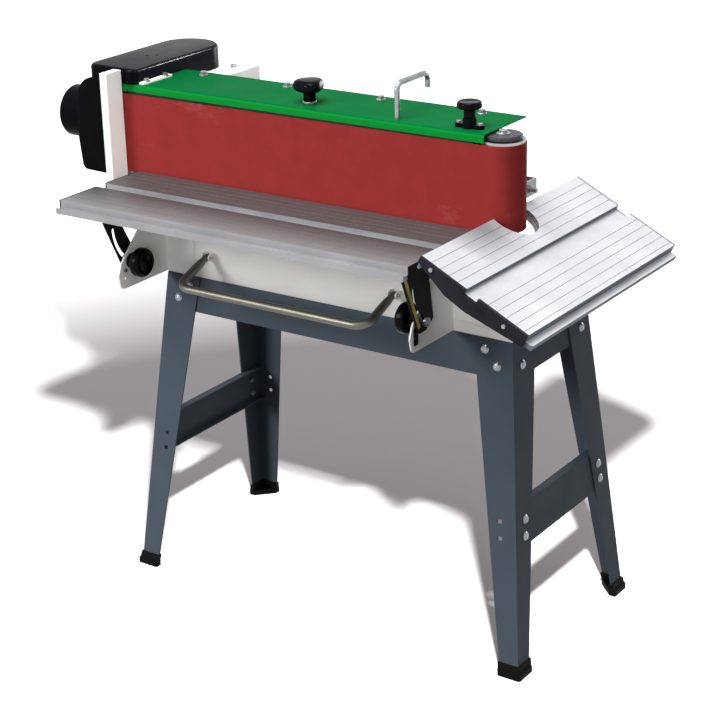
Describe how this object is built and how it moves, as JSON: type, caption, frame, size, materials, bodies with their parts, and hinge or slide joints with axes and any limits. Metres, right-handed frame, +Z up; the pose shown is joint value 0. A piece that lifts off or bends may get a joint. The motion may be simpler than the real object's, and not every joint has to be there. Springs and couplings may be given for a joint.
{
  "type": "edge sander",
  "caption": "Floor-stand belt edge sander: upright belt between two drums behind a tilting table, with a tilting notched end table, dust hood and motor on a splayed-leg stand",
  "frame": {"origin": "middle of the machine's outline on the floor", "axes": "+X along the belt to the idler end, +Y to the motor side, +Z up"},
  "size_m": [1.1812, 0.5388, 0.985],
  "materials": {
    "stand_paint": "satin paint",
    "cream_paint": "semi-gloss paint",
    "green_paint": "semi-gloss paint",
    "black_paint": "semi-gloss paint",
    "hood_plastic": "gloss",
    "knob_plastic": "satin",
    "cap_plastic": "matte",
    "table_alloy": "anodised",
    "steel": "machined",
    "plated_steel": "zinc plated",
    "dark_steel": "satin paint",
    "belt_abrasive": "abrasive cloth",
    "graphite": "graphite cloth",
    "rubber": "matte",
    "scale_yellow": "printed foil",
    "button_green": "gloss",
    "button_red": "gloss"
  },
  "bodies": {
    "machine": {"leg_front_left": "stand_paint", "leg_front_right": "stand_paint", "leg_rear_left": "stand_paint", "leg_rear_right": "stand_paint", "long_rails": "stand_paint", "end_rails": "stand_paint", "end_braces": "stand_paint", "rubber_feet": "rubber", "stand_bolts": "plated_steel", "base_box": "cream_paint", "bracket_left": "cream_paint", "bracket_right": "cream_paint", "scale_pointer": "black_paint", "hinge_pins": "plated_steel", "end_hinge_brackets": "cream_paint", "head_frame": "cream_paint", "platen": "graphite", "sanding_belt": "belt_abrasive", "rear_panel": "cream_paint", "top_cover": "green_paint", "cover_bolts": "plated_steel", "cover_bar": "cream_paint", "work_stop": "cream_paint", "dust_hood": "hood_plastic", "pulley_cover": "hood_plastic", "motor_tray": "cream_paint", "motor_body": "dark_steel", "v_belt": "rubber", "drum_bearings": "steel", "tension_spring": "steel", "tracking_base": "knob_plastic", "tracking_bracket": "plated_steel", "switch_box": "cap_plastic", "cable_gland": "knob_plastic"},
    "table": {"main_table": "table_alloy", "main_end_caps": "black_paint", "table_arm_left": "black_paint", "table_arm_right": "black_paint", "angle_scale": "scale_yellow", "table_screws": "plated_steel"},
    "end_table": {"end_table": "table_alloy", "end_table_caps": "cap_plastic", "end_table_screws": "plated_steel", "end_hinge_plates": "dark_steel"},
    "drive": {"drive_drum": "steel", "drum_pulley": "dark_steel"},
    "motor_rotor": {"motor_rotor": "steel"},
    "yoke": {"idler_yoke": "dark_steel", "idler_shaft": "plated_steel", "idler_bearings": "steel"},
    "idler": {"idler_drum": "steel"},
    "lever": {"tension_lever": "plated_steel"},
    "clamp_knob_left": {"clamp_knob_left": "knob_plastic"},
    "clamp_knob_right": {"clamp_knob_right": "knob_plastic"},
    "end_lock_knob": {"end_lock_knob": "knob_plastic"},
    "cover_knob": {"cover_knob": "knob_plastic"},
    "tracking_knob": {"tracking_knob": "knob_plastic"},
    "bail": {"front_bail": "steel"},
    "start_button": {"start_button": "button_green"},
    "stop_button": {"stop_button": "button_red"}
  },
  "joints": [
    {"name": "table_tilt", "type": "hinge", "parent": "machine", "child": "table", "pos_m": [0.09636, -0.1454, 0.714], "axis": [1, 0, 0], "range_deg": [0, 45]},
    {"name": "end_table_tilt", "type": "hinge", "parent": "machine", "child": "end_table", "pos_m": [0.43236, 0.0266, 0.718], "axis": [0, 1, 0], "range_deg": [-26.6, 18.4]},
    {"name": "drive_spin", "type": "hinge", "parent": "machine", "child": "drive", "pos_m": [-0.45164, 0.0074, 0.75], "axis": [0, 0, 1], "continuous": true},
    {"name": "motor_spin", "type": "hinge", "parent": "machine", "child": "motor_rotor", "pos_m": [-0.45164, 0.1764, 0.9], "axis": [0, 0, 1], "continuous": true},
    {"name": "idler_slide", "type": "slide", "parent": "machine", "child": "yoke", "axis": [1, 0, 0], "range_m": [-0.005, 0], "deforming": ["tension_spring"]},
    {"name": "idler_spin", "type": "hinge", "parent": "yoke", "child": "idler", "pos_m": [0.38136, 0.0074, 0.75], "axis": [0, 0, 1], "continuous": true},
    {"name": "lever_turn", "type": "hinge", "parent": "machine", "child": "lever", "pos_m": [0.18486, -0.0138, 0.918], "axis": [0, 0, 1], "range_deg": [0, 90]},
    {"name": "clamp_left_turn", "type": "hinge", "parent": "machine", "child": "clamp_knob_left", "pos_m": [-0.26264, -0.2044, 0.642], "axis": [1, 0, 0], "continuous": true},
    {"name": "clamp_right_turn", "type": "hinge", "parent": "machine", "child": "clamp_knob_right", "pos_m": [0.33736, -0.2044, 0.642], "axis": [1, 0, 0], "continuous": true},
    {"name": "end_lock_turn", "type": "hinge", "parent": "machine", "child": "end_lock_knob", "pos_m": [0.43236, 0.1766, 0.648], "axis": [0, 1, 0], "continuous": true},
    {"name": "cover_knob_turn", "type": "hinge", "parent": "machine", "child": "cover_knob", "pos_m": [-0.01364, 0.0066, 0.938], "axis": [0, 0, 1], "continuous": true},
    {"name": "tracking_turn", "type": "hinge", "parent": "machine", "child": "tracking_knob", "pos_m": [0.32236, -0.0034, 0.928], "axis": [0, 0, 1], "continuous": true},
    {"name": "bail_swing", "type": "hinge", "parent": "machine", "child": "bail", "pos_m": [0.03486, -0.1164, 0.64], "axis": [1, 0, 0], "range_deg": [-15, 60]},
    {"name": "start_press", "type": "slide", "parent": "machine", "child": "start_button", "axis": [1, 0, 0], "range_m": [0, 0.004], "stiffness_N_per_m": 400},
    {"name": "stop_press", "type": "slide", "parent": "machine", "child": "stop_button", "axis": [1, 0, 0], "range_m": [0, 0.004], "stiffness_N_per_m": 400}
  ],
  "couplings": [
    {"joint": "motor_spin", "follows": "drive_spin", "ratio": 1.25},
    {"joint": "idler_spin", "follows": "drive_spin", "ratio": 1},
    {"joint": "lever_turn", "follows": "idler_slide", "rad_per_m": -314.16}
  ]
}
